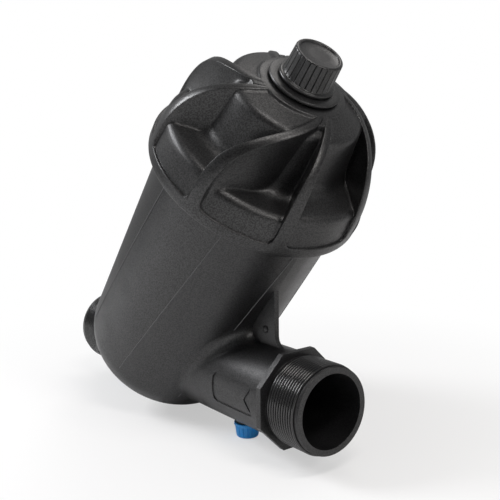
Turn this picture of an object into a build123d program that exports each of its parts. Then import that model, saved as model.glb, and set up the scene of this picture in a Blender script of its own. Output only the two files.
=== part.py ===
from build123d import *
import os
from math import acos, atan, cos, degrees, pi, radians, sin

# A plastic Y filter for an irrigation pipe. X runs along the pipe and out of the inlet,
# Z is up, and the origin is where the inlet's thread starts. Sizes are millimetres.
# A height along the slanted vessel is measured from the pipe's axis.

# Pipe and its two threaded ends
pipe_r = 30.0
pipe_wall = 5.6
inlet_run = 195.1
outlet_run = 90.7
thread_crest_r = 29.8
thread_len = 25.5
thread_depth = 1.5
mouth_lead = 2.5
mouth_drop = 1.3
collar_gap = 3.4
collar_t = 4.45
collar_corner_r = 34.7
collar_sides = 8

# Slanted vessel
vessel_tilt = 49.5
vessel_len = 189.0
vessel_wall = 4.0
vessel_foot_r = 63.5
vessel_foot_h = 18.0
vessel_dome_depth = 39.8
vessel_top_r = 65.6
inlet_blend_r = 8.0
outlet_blend_r = 3.0
neck_step = 0.6
neck_rise = 16.0
neck_gap = 2.0
neck_chamfer = 1.0

# Duct inside the vessel that leads the clean water out
riser_bore_r = 20.0
riser_wall = 4.0
riser_top_h = 36.0
duct_wall = 3.5
duct_reach = 16.0

# Gusset between the vessel and the inlet pipe
gusset_t = 3.5
gusset_edge_x = -51.5
gusset_foot_r = 8.0
gusset_sink = 0.5
gusset_mark_x = -61.4
gusset_mark_h = 40.4
gusset_mark_r = 2.6
gusset_mark_depth = 0.5

# Sunk panel with a plain flow chevron on the inlet pipe
panel_x = -64.3
panel_len = 43.0
panel_height = 21.0
panel_corner_r = 4.0
panel_depth = 0.7
chevron_depth = 0.6
chevron_arm = 8.5
chevron_run = 6.0
chevron_stroke = 2.2
chevron_edge_gap = 2.0

# Pressure taps under the pipe
tap_inlet_gap = 85.9
tap_outlet_gap = 42.3
tap_nipple_r = 6.1
tap_boss_r = 8.0
tap_boss_drop = 1.9
tap_nipple_drop = 9.3
tap_hole_r = 1.5
tap_gasket_t = 1.2
tap_cap_roof = 1.6
tap_cap_wall = 1.5
tap_cap_taper = 1.0
tap_cap_flange = 0.5
tap_cap_flange_t = 2.0
tap_cap_grooves = 16
tap_groove_r = 0.6
tap_cap_dish_r = 5.5
tap_cap_dish = 0.4

# Cover, with heights measured up from the top of its rim band
rim_wall = 8.3
band_height = 8.0
thread_clear = 0.4
cover_wall = 4.8
swell_rise = 68.9
swell_power = 2.4
swell_flat_r = 25.6
panel_step = 1.6
pocket_corner_r = 4.5
crest_inset = 6.1
crest_rise = 59.2
valley_inset = 9.7
valley_rise = 19.5
shoulder_inset = 4.6
shoulder_rise = 20.5
summit_edge = 0.3
summit_rise = 66.2
crest_round = 8.0
valley_round = 8.0
shoulder_round = 6.0
channel_land = 3.8
skirt_inset = 3.5
skirt_t = 3.0
seal_wire_r = 1.9
seal_clear = 0.3

# Ribs on the cover, four pairs that part from the collar and reach the rim evenly spaced
rib_pairs = 4
rib_start_r = 26.0
rib_half_in = 2.5
rib_half_out = 4.3
rib_flare_r = 58.0
short_sweep = 26.0
long_sweep = 65.5
short_power = 1.5
long_power = 1.65
first_rib_angle = 22.5
pocket_start_r = 29.0
pocket_tip_r = 35.0
pocket_overrun = 2.0

# Drain nozzle on the cover and its cap
collar_disc_r = 23.7
collar_disc_gap = 1.4
collar_disc_t = 2.2
nozzle_r = 13.2
nozzle_bore_r = 9.5
nozzle_len = 14.7
drain_gasket_t = 2.0
drain_cap_wall = 1.8
drain_cap_taper = 0.9
drain_cap_bead = 2.0
drain_cap_bead_t = 2.6
drain_cap_roof = 3.0
drain_cap_dish_r = 12.6
drain_cap_dish = 1.0
drain_cap_grooves = 26
drain_groove_r = 0.8

# Filter element
flange_lip = 2.7
foot_flange_t = 5.0
spigot_clear = 0.5
spigot_drop = 12.0
spigot_bore_r = 15.0
foot_lip = 6.0
spigot_seal_r = 1.4
spigot_seal_drop = 6.0
core_r = 43.5
core_wall = 3.0
window_rows = 5
window_cols = 8
window_gap = 7.0
mesh_t = 0.8
guard_wall = 1.6
fit_clear = 0.3
head_drop = 16.0
head_t = 5.0
head_gasket_t = 2.2
head_groove = 1.2
grip_len = 42.0
grip_wide = 6.0
grip_high = 16.0
grip_bar = 5.0
grip_corner_r = 4.0
grip_stem_r = 4.0

# Sizes that follow from the ones above
tilt = radians(vessel_tilt)
bore_r = pipe_r - pipe_wall
vessel_x = -inlet_run
outlet_x = -inlet_run - outlet_run
collar_x = -thread_len - collar_gap
chevron_x = panel_x + panel_len / 2 - chevron_edge_gap
tap_places = (-tap_inlet_gap, outlet_x + tap_outlet_gap)
gusset_root = pipe_r - gusset_sink
gusset_top = (sin(tilt) * (gusset_edge_x - vessel_x) - vessel_foot_r) / cos(tilt)
inlet_reach_x = vessel_x + (vessel_foot_r - vessel_wall - cos(tilt) * bore_r) / sin(tilt)
up = Vector(cos(tilt), 0, sin(tilt))
side = Vector(sin(tilt), 0, -cos(tilt))
foot = Vector(vessel_x, 0, 0)
vessel_axis = Axis(foot, up)
half_section = Plane(origin=foot, x_dir=side, z_dir=(0, -1, 0))


def across(height):
    """Plane square to the vessel's axis, at a height along it."""
    return Plane(origin=foot + up * height, x_dir=(0, -1, 0), z_dir=up)


def inner_r(height):
    """Inside radius of the tapered vessel at a height along it."""
    slope = (vessel_top_r - vessel_foot_r) / (vessel_len - vessel_foot_h)
    return vessel_foot_r - vessel_wall + slope * (height - vessel_foot_h)


def rib_angle(radius, end_angle, sweep, power):
    """Angle of a rib's middle line, in degrees, which settles towards the rim."""
    part = max(0.0, (rim_r - radius) / (rim_r - rib_start_r))
    return end_angle + sweep * part**power


def rib_edge(radius, end_angle, sweep, power, hand):
    """Point on one side of a rib: hand is 1 or -1."""
    step = 0.5
    here = rib_angle(radius, end_angle, sweep, power)
    turn = radians(rib_angle(radius - step, end_angle, sweep, power) - here) / step
    half = rib_half_in + (rib_half_out - rib_half_in) * max(0.0, (radius - rib_flare_r) / (rim_r - rib_flare_r))
    angle = here + hand * degrees(half / (radius * cos(atan(radius * turn))))
    return (radius * cos(radians(angle)), radius * sin(radians(angle)))


def rib(number):
    """End angle, sweep and power of a rib: long ones are even, short ones odd."""
    end_angle = first_rib_angle + number * rib_step
    return (end_angle, long_sweep, long_power) if number % 2 == 0 else (end_angle, short_sweep, short_power)


def swell_point(part):
    """Point on the dome over the ribs, from the rim at 0 to the flat round the collar at 1."""
    turn = part * acos((swell_flat_r / rim_r) ** (swell_power / 2))
    return Vector(rim_r * cos(turn) ** (2 / swell_power), band_top_h + swell_rise * sin(turn) ** (2 / swell_power))


def inset(before, corner, after, wall):
    """Corner of an outline moved inward by a wall that both of its lines keep."""
    one = (Vector(*corner) - Vector(*before)).normalized()
    two = (Vector(*after) - Vector(*corner)).normalized()
    normals = Vector(one.Y, -one.X) + Vector(two.Y, -two.X)
    moved = Vector(*corner) + normals * (wall / (1 + one.dot(two)))
    return (moved.X, moved.Y)


def wall_x(height):
    """Where the vessel's wall stands over the pipe's axis, at a height above that axis."""
    return vessel_x + (vessel_foot_r + cos(tilt) * height) / sin(tilt)


# Neck, rim and seal
neck_r = vessel_top_r + neck_step
neck_top_h = vessel_len + neck_rise
seat_h = neck_top_h + 2 * seal_clear
thread_bore_r = neck_r + thread_clear
seal_mid_r = (inner_r(neck_top_h) + neck_r) / 2
rim_h = vessel_len
rim_r = thread_bore_r + rim_wall
band_top_h = rim_h + band_height

# Corners of the cover's waisted shell: radius and height
channel_r = seal_mid_r - seal_wire_r - seal_clear - channel_land
valley_r = channel_r - valley_inset
summit = (collar_disc_r + summit_edge, band_top_h + summit_rise)
crest = (valley_r - crest_inset, band_top_h + crest_rise)
valley = (valley_r, band_top_h + valley_rise)
shoulder = (rim_r - shoulder_inset, band_top_h + shoulder_rise)
wall_foot = (rim_r - panel_step, band_top_h)
floor_slope = (shoulder[1] - valley[1]) / (shoulder[0] - valley[0])
crest_in = inset(summit, crest, valley, cover_wall)
valley_in = inset(crest, valley, shoulder, cover_wall)
summit_h = summit[1]
rib_step = 180 / rib_pairs
pocket_out_r = rim_r + pocket_overrun

# Drain nozzle, its cap and the element
collar_disc_h = summit_h + collar_disc_gap
nozzle_top_h = collar_disc_h + collar_disc_t + nozzle_len
drain_seat_h = collar_disc_h + collar_disc_t + seal_clear
drain_roof_h = nozzle_top_h + drain_gasket_t + 2 * seal_clear
drain_cap_end_r = nozzle_r + thread_clear + drain_cap_wall
drain_cap_root_r = drain_cap_end_r + drain_cap_taper
tap_cap_end_r = tap_nipple_r + thread_clear + tap_cap_wall
tap_cap_root_r = tap_cap_end_r + tap_cap_taper
guard_out_r = core_r + mesh_t + guard_wall + 2 * fit_clear
foot_flange_r = guard_out_r + fit_clear + flange_lip
skirt_r = foot_flange_r - skirt_inset
foot_top_h = riser_top_h + foot_flange_t
head_h = neck_top_h - head_drop
core_len = head_h - foot_top_h
head_top_h = head_h + head_t
head_gasket_h = head_top_h - head_groove
skirt_low_h = head_gasket_h + head_gasket_t + seal_clear


# Housing: one moulding with the pipe, the slanted vessel, the duct and the gusset
with BuildPart() as pipe_end:
    with BuildSketch(Plane.XZ):
        with BuildLine():
            Polyline(
                (mouth_lead, 0),
                (mouth_lead, thread_crest_r - mouth_drop),
                (0, thread_crest_r),
                (-thread_len, thread_crest_r),
                (-thread_len, thread_crest_r - thread_depth),
                (collar_x, thread_crest_r - thread_depth),
                (collar_x, 0),
                close=True,
            )
        make_face()
    revolve(axis=Axis.X)
    with BuildSketch(Plane.YZ.offset(collar_x)):
        RegularPolygon(collar_corner_r, collar_sides, rotation=180 / collar_sides)
    extrude(amount=-collar_t)

with BuildPart() as panel_cut:
    with BuildSketch(Plane.XZ.offset(pipe_r + panel_depth)):
        with Locations((panel_x, 0)):
            RectangleRounded(panel_len, panel_height, panel_corner_r)
    extrude(amount=-pipe_wall)
    with BuildSketch(Plane.YZ.offset(panel_x + panel_len)):
        Circle(pipe_r - panel_depth)
    extrude(amount=-2 * panel_len, mode=Mode.SUBTRACT)

with BuildPart() as chevron_cut:
    with BuildSketch(Plane.XZ.offset(pipe_r + panel_depth)):
        with BuildLine():
            Polyline(
                (chevron_x - chevron_run, 0),
                (chevron_x, chevron_arm),
                (chevron_x, chevron_arm - chevron_stroke * chevron_arm / chevron_run),
                (chevron_x - chevron_run + chevron_stroke, 0),
                (chevron_x, chevron_stroke * chevron_arm / chevron_run - chevron_arm),
                (chevron_x, -chevron_arm),
                close=True,
            )
        make_face()
    extrude(amount=-pipe_wall)
    with BuildSketch(Plane.YZ.offset(panel_x + panel_len)):
        Circle(pipe_r - panel_depth - chevron_depth)
    extrude(amount=-2 * panel_len, mode=Mode.SUBTRACT)

with BuildPart() as housing:
    with BuildSketch(Plane.YZ.offset(collar_x)):
        Circle(pipe_r)
    extrude(amount=outlet_x - 2 * collar_x)
    with BuildSketch(half_section):
        with BuildLine():
            dome = EllipticalCenterArc(
                (0, vessel_foot_h), vessel_foot_r, vessel_dome_depth, start_angle=270, arc_size=90
            )
            Polyline(
                dome @ 1,
                (vessel_top_r, vessel_len + neck_gap),
                (neck_r, vessel_len + neck_gap),
                (neck_r, neck_top_h - neck_chamfer),
                (neck_r - neck_chamfer, neck_top_h),
                (0, neck_top_h),
                dome @ 0,
            )
        make_face()
    revolve(axis=vessel_axis)
    joins = housing.edges().filter_by(GeomType.BSPLINE)
    fillet(joins.filter_by(lambda join: join.center().X > vessel_x), inlet_blend_r)
    joins = housing.edges().filter_by(GeomType.BSPLINE)
    fillet(joins.filter_by(lambda join: join.center().X < vessel_x), outlet_blend_r)
    # threaded ends
    add(pipe_end.part)
    mirror(pipe_end.part, about=Plane.YZ.offset(outlet_x / 2))
    # gusset with its round mark
    with BuildSketch(Plane.XZ):
        with BuildLine():
            sweep_in = JernArc((gusset_edge_x, gusset_root + gusset_foot_r), (0, -1), gusset_foot_r, 90)
            Polyline(
                sweep_in @ 1,
                (gusset_edge_x + gusset_foot_r, bore_r + gusset_sink),
                (wall_x(bore_r + gusset_sink), bore_r + gusset_sink),
                (gusset_edge_x, gusset_top),
                sweep_in @ 0,
            )
        make_face()
    extrude(amount=gusset_t / 2, both=True)
    with BuildSketch(Plane.XZ):
        with Locations((gusset_mark_x, gusset_mark_h)):
            Circle(gusset_mark_r)
    extrude(amount=gusset_t / 2 + gusset_mark_depth, both=True)
    # pressure taps
    with BuildSketch(Plane.XY):
        with Locations(*[(x, 0) for x in tap_places]):
            Circle(tap_boss_r)
    extrude(amount=-(pipe_r + tap_boss_drop))
    with BuildSketch(Plane.XY):
        with Locations(*[(x, 0) for x in tap_places]):
            Circle(tap_nipple_r)
    extrude(amount=-(pipe_r + tap_nipple_drop))
    # hollow vessel
    with BuildSketch(half_section):
        with BuildLine():
            hollow = EllipticalCenterArc(
                (0, vessel_foot_h),
                vessel_foot_r - vessel_wall,
                vessel_dome_depth - vessel_wall,
                start_angle=270,
                arc_size=90,
            )
            Polyline(hollow @ 1, (inner_r(neck_top_h), neck_top_h), (0, neck_top_h), hollow @ 0)
        make_face()
    revolve(axis=vessel_axis, mode=Mode.SUBTRACT)
    # duct and riser inside it
    with BuildSketch(Plane.YZ.offset(vessel_x + duct_reach + duct_wall)):
        Circle(bore_r + duct_wall)
    extrude(amount=outlet_x - collar_x - vessel_x - duct_reach - duct_wall)
    with BuildSketch(across(0)):
        Circle(riser_bore_r + riser_wall)
    extrude(amount=riser_top_h)
    # bores
    with BuildSketch(Plane.YZ.offset(mouth_lead)):
        Circle(bore_r)
    extrude(amount=inlet_reach_x - mouth_lead, mode=Mode.SUBTRACT)
    with BuildSketch(Plane.YZ.offset(vessel_x + duct_reach)):
        Circle(bore_r)
    extrude(amount=outlet_x - mouth_lead - vessel_x - duct_reach, mode=Mode.SUBTRACT)
    with BuildSketch(across(0)):
        Circle(riser_bore_r)
    extrude(amount=riser_top_h + bore_r, mode=Mode.SUBTRACT)
    with BuildSketch(Plane.XY):
        with Locations(*[(x, 0) for x in tap_places]):
            Circle(tap_hole_r)
    extrude(amount=-(pipe_r + tap_nipple_drop), mode=Mode.SUBTRACT)
    # sunk panel and chevron
    add(panel_cut.part, mode=Mode.SUBTRACT)
    add(chevron_cut.part, mode=Mode.SUBTRACT)

# Cover: eight pockets are cut from a smooth dome, and a waisted shell fills their floors


def pocket_ring(low_h):
    """The eight pockets between the ribs, cut straight up from a height."""
    with BuildPart() as ring:
        for number in range(2 * rib_pairs):
            first, second = rib(number), rib(number + 1)
            start_r = pocket_tip_r if number % 2 == 0 else pocket_start_r
            reach = [start_r + (pocket_out_r - start_r) * i / 6 for i in range(7)]
            with BuildSketch(across(low_h)):
                with BuildLine():
                    one = Spline(*[rib_edge(r, *first, 1) for r in reach])
                    other = Spline(*[rib_edge(r, *second, -1) for r in reach])
                    Line(one @ 1, other @ 1)
                    RadiusArc(one @ 0, other @ 0, -start_r)
                make_face()
            extrude(amount=swell_rise)
    return ring


pockets = pocket_ring(band_top_h + pocket_corner_r)

# the same pockets near the rim, down to the band and with round lower corners
with BuildPart() as pocket_feet:
    add(pocket_ring(band_top_h).part)
    with BuildSketch(across(band_top_h)):
        Circle(rib_flare_r)
    extrude(amount=swell_rise, mode=Mode.SUBTRACT)
    foot_edges = pocket_feet.edges().group_by(vessel_axis, tol_digits=2)[0].filter_by(GeomType.BSPLINE)
    fillet(foot_edges, pocket_corner_r)

with BuildPart() as cover:
    with BuildSketch(half_section):
        with BuildLine():
            rise = [swell_point(i / 8) for i in range(9)]
            swell = Spline(*rise, tangents=[(0, 1), rise[8] - swell_point(0.99)])
            Polyline(swell @ 1, (0, (swell @ 1).Y), (0, rim_h), (rim_r, rim_h), swell @ 0)
        make_face()
    revolve(axis=vessel_axis)
    add(pockets.part, mode=Mode.SUBTRACT)
    add(pocket_feet.part, mode=Mode.SUBTRACT)
    with BuildSketch(half_section):
        with BuildLine():
            waist = FilletPolyline(
                summit,
                crest,
                valley,
                shoulder,
                wall_foot,
                radius=[crest_round, valley_round, shoulder_round],
            )
            Polyline(waist @ 1, (0, wall_foot[1]), (0, summit_h), waist @ 0)
        make_face()
    revolve(axis=vessel_axis)
    # drain nozzle with its round collar
    with BuildSketch(across(summit_h - cover_wall / 2)):
        Circle(nozzle_r)
    extrude(amount=nozzle_top_h - summit_h + cover_wall / 2)
    with BuildSketch(across(summit_h - cover_wall / 2)):
        Circle(collar_disc_r - collar_disc_t)
    extrude(amount=collar_disc_h - summit_h + cover_wall / 2)
    with BuildSketch(across(collar_disc_h)):
        Circle(collar_disc_r)
    extrude(amount=collar_disc_t)
    # hollow inside, thread bore and the seal's groove
    with BuildSketch(half_section):
        with BuildLine():
            Polyline(
                (0, summit_h - cover_wall),
                inset((0, summit_h), summit, crest, cover_wall),
                crest_in,
                valley_in,
                (channel_r, valley_in[1] + floor_slope * (channel_r - valley_in[0])),
                (channel_r, seat_h),
                (thread_bore_r, seat_h),
                (thread_bore_r, rim_h),
                (0, rim_h),
                close=True,
            )
        make_face()
        # the skirt that holds the element down is left standing
        with Locations((skirt_r, (skirt_low_h + summit_h) / 2)):
            Rectangle(skirt_t, summit_h - skirt_low_h, mode=Mode.SUBTRACT)
    revolve(axis=vessel_axis, mode=Mode.SUBTRACT)
    with BuildSketch(across(seat_h)):
        Circle(seal_mid_r + seal_wire_r + seal_clear)
        Circle(seal_mid_r - seal_wire_r - seal_clear, mode=Mode.SUBTRACT)
    extrude(amount=2 * seal_wire_r, mode=Mode.SUBTRACT)
    with BuildSketch(across(summit_h - 2 * cover_wall)):
        Circle(nozzle_bore_r)
    extrude(amount=nozzle_top_h - summit_h + 2 * cover_wall, mode=Mode.SUBTRACT)

with BuildPart() as cover_seal:
    with BuildSketch(half_section):
        with Locations((seal_mid_r, neck_top_h + seal_clear + seal_wire_r)):
            Circle(seal_wire_r)
    revolve(axis=vessel_axis)


def screw_cap(seat, bore, bead, bead_t, root, end, roof_in, roof_out, grooves, groove, dish_r, dish):
    """Knurled cap that stands on a plane: bead at its foot, tapered fluted body, sunk top."""
    edge = bead_t / 4
    with BuildPart(seat) as cap:
        with BuildSketch(seat.offset(bead_t)):
            Circle(root)
            with PolarLocations(root + groove / 3, grooves):
                Circle(groove, mode=Mode.SUBTRACT)
        lean = degrees(atan((root - end) / (roof_out - bead_t)))
        extrude(amount=roof_out - bead_t - 2 * edge, taper=lean)
        with BuildSketch(Plane(seat.origin, x_dir=seat.x_dir, z_dir=-seat.y_dir)):
            with BuildLine():
                Polyline(
                    (0, 0),
                    (bead - edge, 0),
                    (bead, edge),
                    (bead, bead_t - edge),
                    (bead - edge, bead_t),
                    (0, bead_t),
                    close=True,
                )
            make_face()
            with BuildLine():
                Polyline(
                    (0, roof_out - 2 * edge),
                    (end, roof_out - 2 * edge),
                    (end, roof_out - edge),
                    (end - edge, roof_out),
                    (0, roof_out),
                    close=True,
                )
            make_face()
        revolve(axis=Axis(seat.origin, seat.z_dir))
        with BuildSketch(seat):
            Circle(bore)
        extrude(amount=roof_in, mode=Mode.SUBTRACT)
        with BuildSketch(seat.offset(roof_out - dish)):
            Circle(dish_r)
        extrude(amount=dish, mode=Mode.SUBTRACT)
    return cap


drain_cap = screw_cap(
    across(drain_seat_h),
    nozzle_r + thread_clear,
    drain_cap_root_r + drain_cap_bead,
    drain_cap_bead_t,
    drain_cap_root_r,
    drain_cap_end_r,
    drain_roof_h - drain_seat_h,
    drain_roof_h - drain_seat_h + drain_cap_roof,
    drain_cap_grooves,
    drain_groove_r,
    drain_cap_dish_r,
    drain_cap_dish,
)

with BuildPart() as drain_gasket:
    with BuildSketch(across(nozzle_top_h + seal_clear)):
        Circle(nozzle_r)
    extrude(amount=drain_gasket_t)

# Filter element
with BuildPart() as element_foot:
    with BuildSketch(half_section):
        with BuildLine():
            Polyline(
                (spigot_bore_r, riser_top_h - spigot_drop),
                (riser_bore_r - spigot_clear, riser_top_h - spigot_drop),
                (riser_bore_r - spigot_clear, riser_top_h),
                (foot_flange_r, riser_top_h),
                (foot_flange_r, foot_top_h + foot_lip),
                (guard_out_r + fit_clear, foot_top_h + foot_lip),
                (guard_out_r + fit_clear, foot_top_h),
                (spigot_bore_r, foot_top_h),
                close=True,
            )
        make_face()
        with Locations((riser_bore_r - seal_clear - spigot_seal_r, riser_top_h - spigot_seal_drop)):
            Rectangle(2 * (spigot_seal_r + seal_clear), 2 * (spigot_seal_r + seal_clear), mode=Mode.SUBTRACT)
    revolve(axis=vessel_axis)

with BuildPart() as foot_seal:
    with BuildSketch(half_section):
        with Locations((riser_bore_r - seal_clear - spigot_seal_r, riser_top_h - spigot_seal_drop)):
            Circle(spigot_seal_r)
    revolve(axis=vessel_axis)


def windowed_sleeve(outside, wall):
    """Tube of the element's length with rows of square windows."""
    with BuildPart() as sleeve:
        with BuildSketch(across(foot_top_h)):
            Circle(outside)
            Circle(outside - wall, mode=Mode.SUBTRACT)
        extrude(amount=core_len)
        high = (core_len - window_gap * (window_rows + 1)) / window_rows
        wide = 2 * pi * outside / window_cols - window_gap
        for row in range(window_rows):
            middle = foot_top_h + window_gap + high / 2 + row * (high + window_gap)
            with Locations(across(middle)):
                with PolarLocations(outside, window_cols):
                    Box(4 * wall, wide, high, mode=Mode.SUBTRACT)
    return sleeve


element_core = windowed_sleeve(core_r, core_wall)
guard = windowed_sleeve(guard_out_r, guard_wall)

with BuildPart() as screen:
    with BuildSketch(across(foot_top_h)):
        Circle(core_r + fit_clear + mesh_t)
        Circle(core_r + fit_clear, mode=Mode.SUBTRACT)
    extrude(amount=core_len)

with BuildPart() as element_head:
    with BuildSketch(half_section):
        with BuildLine():
            Polyline(
                (grip_stem_r + fit_clear, head_h),
                (guard_out_r + fit_clear, head_h),
                (guard_out_r + fit_clear, head_h - foot_lip),
                (foot_flange_r, head_h - foot_lip),
                (foot_flange_r, head_top_h),
                (grip_stem_r + fit_clear, head_top_h),
                close=True,
            )
        make_face()
    revolve(axis=vessel_axis)
    with BuildSketch(across(head_gasket_h)):
        Circle(skirt_r + skirt_t / 2 + seal_clear)
        Circle(skirt_r - skirt_t / 2 - seal_clear, mode=Mode.SUBTRACT)
    extrude(amount=head_groove, mode=Mode.SUBTRACT)

with BuildPart() as head_seal:
    with BuildSketch(across(head_gasket_h)):
        Circle(skirt_r + skirt_t / 2)
        Circle(skirt_r - skirt_t / 2, mode=Mode.SUBTRACT)
    extrude(amount=head_gasket_t)

with BuildPart() as grip:
    grip_middle = foot + up * (head_top_h + grip_high / 2)
    with BuildSketch(Plane(origin=grip_middle, x_dir=(0, -1, 0), z_dir=-side)):
        RectangleRounded(grip_len, grip_high, grip_corner_r)
        RectangleRounded(grip_len - 2 * grip_bar, grip_high - 2 * grip_bar, grip_corner_r / 2, mode=Mode.SUBTRACT)
    extrude(amount=grip_wide / 2, both=True)
    with BuildSketch(across(head_h)):
        Circle(grip_stem_r)
    extrude(amount=head_t + grip_bar / 2)

# Blue caps and gaskets on the two pressure taps
tap_caps = {}
tap_gaskets = {}
for name, tap_x in zip(("inlet_tap", "outlet_tap"), tap_places):
    tap_seat = Plane(origin=(tap_x, 0, -pipe_r - tap_boss_drop - seal_clear), x_dir=(1, 0, 0), z_dir=(0, 0, -1))
    roof_in = tap_nipple_drop - tap_boss_drop + seal_clear + tap_gasket_t
    tap_caps[name] = screw_cap(
        tap_seat,
        tap_nipple_r + thread_clear,
        tap_cap_root_r + tap_cap_flange,
        tap_cap_flange_t,
        tap_cap_root_r,
        tap_cap_end_r,
        roof_in,
        roof_in + tap_cap_roof,
        tap_cap_grooves,
        tap_groove_r,
        tap_cap_dish_r,
        tap_cap_dish,
    )
    with BuildPart() as tap_gasket:
        with BuildSketch(Plane.XY.offset(-pipe_r - tap_nipple_drop - seal_clear)):
            with Locations((tap_x, 0)):
                Circle(tap_nipple_r)
        extrude(amount=-tap_gasket_t)
    tap_gaskets[name] = tap_gasket

os.makedirs("parts", exist_ok=True)
pieces = {
    "housing": housing,
    "cover": cover,
    "cover_seal": cover_seal,
    "drain_cap": drain_cap,
    "drain_gasket": drain_gasket,
    "element_foot": element_foot,
    "foot_seal": foot_seal,
    "element_core": element_core,
    "screen": screen,
    "guard": guard,
    "element_head": element_head,
    "head_seal": head_seal,
    "grip": grip,
}
for name in tap_caps:
    pieces[name + "_cap"] = tap_caps[name]
    pieces[name + "_gasket"] = tap_gaskets[name]
for name, piece in pieces.items():
    piece.part.label = name
    export_step(piece.part, "parts/" + name + ".step")
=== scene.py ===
# %% [markdown]
# # A plastic Y filter for an irrigation pipe
#
# The object is a moulded Y filter. A straight pipe with a threaded end on each side carries a
# slanted vessel, and a screwed cover with curved ribs closes the vessel. A small screwed cap
# closes the drain on the cover, and two blue caps close the pressure taps under the pipe.
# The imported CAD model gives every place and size, and this file dresses it: it adds the real
# thread turns, the soft edges, the grain of the plastic and the light.

from math import cos, pi, radians, sin

import bmesh
import bpy
import numpy as np
from mathutils import Matrix, Vector


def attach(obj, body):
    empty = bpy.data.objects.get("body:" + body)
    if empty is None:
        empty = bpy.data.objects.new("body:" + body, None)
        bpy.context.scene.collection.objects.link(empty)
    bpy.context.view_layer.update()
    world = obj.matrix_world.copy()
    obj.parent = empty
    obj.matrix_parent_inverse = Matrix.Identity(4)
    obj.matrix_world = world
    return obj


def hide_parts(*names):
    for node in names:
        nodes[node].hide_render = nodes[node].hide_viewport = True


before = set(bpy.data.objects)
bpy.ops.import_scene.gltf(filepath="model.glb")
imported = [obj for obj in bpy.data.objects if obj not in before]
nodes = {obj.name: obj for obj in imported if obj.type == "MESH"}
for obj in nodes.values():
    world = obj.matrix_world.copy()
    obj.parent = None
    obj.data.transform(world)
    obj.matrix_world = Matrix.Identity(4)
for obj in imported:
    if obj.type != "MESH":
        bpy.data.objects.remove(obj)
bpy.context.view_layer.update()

# %% [markdown]
# ## The camera
#
# The photograph looks at the filter from the front right and a little above, with the inlet
# towards the camera. The camera's place and lens were found by matching the filter's own
# outline, so they are given here as plain numbers.

# %% Camera
mm = 0.001
camera_azimuth = radians(-37.0)
camera_elevation = radians(9.19)
camera_roll = radians(-0.77)
camera_place = Vector((361.905, -333.102, 181.663)) * mm

back = Vector(
    (
        cos(camera_elevation) * cos(camera_azimuth),
        cos(camera_elevation) * sin(camera_azimuth),
        sin(camera_elevation),
    )
)
level = Vector((0, 0, 1)).cross(back).normalized()
over = back.cross(level)
right = cos(camera_roll) * level + sin(camera_roll) * over
above = cos(camera_roll) * over - sin(camera_roll) * level

lens = bpy.data.cameras.new("camera")
lens.sensor_width = 36.0
lens.lens = 59.02
lens.clip_start = 0.01
lens.clip_end = 50.0
camera = bpy.data.objects.new("camera", lens)
camera.matrix_world = Matrix.Translation(camera_place) @ Matrix((right, above, back)).transposed().to_4x4()
bpy.context.scene.collection.objects.link(camera)
bpy.context.scene.camera = camera
bpy.context.scene.view_settings.view_transform = "Standard"
print("camera at", [round(v, 4) for v in camera_place], "lens", lens.lens)

# %% [markdown]
# ## Small helpers for node trees
#
# Materials and Geometry Nodes are both built from nodes and links. Written out in full, each
# node takes many lines, so a few short helpers keep the later cells readable: they add a node
# and fill its inputs, do a sum, mix two shaders, or start a material that has no nodes yet.


# %% Node helpers
def add_node(tree, kind, settings=None, **inputs):
    """Adds a node. Settings are the node's own choices, inputs are its sockets' values or links."""
    node = tree.nodes.new(kind)
    for name, value in (settings or {}).items():
        setattr(node, name, value)
    for name, value in inputs.items():
        wire(tree, node.inputs[name.replace("_", " ")], value)
    return node


def wire(tree, socket, value):
    """Fills a socket with a value, or with a link when the value is another node's output."""
    if isinstance(value, bpy.types.NodeSocket):
        tree.links.new(value, socket)
    else:
        socket.default_value = value


def maths(tree, operation, *values):
    """A maths node with its values or links in order."""
    node = tree.nodes.new("ShaderNodeMath")
    node.operation = operation
    for socket, value in zip(node.inputs, values):
        wire(tree, socket, value)
    return node.outputs[0]


def blend(tree, share, one, other):
    """Mixes two shaders. A share of 0 shows only the first, and 1 only the other."""
    node = tree.nodes.new("ShaderNodeMixShader")
    for socket, value in zip(node.inputs, (share, one, other)):
        wire(tree, socket, value)
    return node.outputs[0]


def empty_material(name):
    """A new material and its node tree, with no nodes in it."""
    material = bpy.data.materials.new(name)
    material.use_nodes = True
    material.node_tree.nodes.clear()
    return material, material.node_tree


# %% [markdown]
# ## Floor, backdrop and light
#
# Product pictures of such filters are taken on white. A wide pale disc stands for the floor.
# Close to the filter it is partly matt, which keeps a soft shadow, and further out it turns
# into the plain white that only the camera sees, so no horizon shows.


# %% Floor
floor_height = -0.0429
floor_radius = 6.0
filter_middle = Vector((-0.12, 0.0, 0.08))
shadow_radius, white_radius = 0.12, 0.42
white_at_filter = 0.5
white, matt_white = (1, 1, 1, 1), (0.86, 0.86, 0.86, 1)


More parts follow.
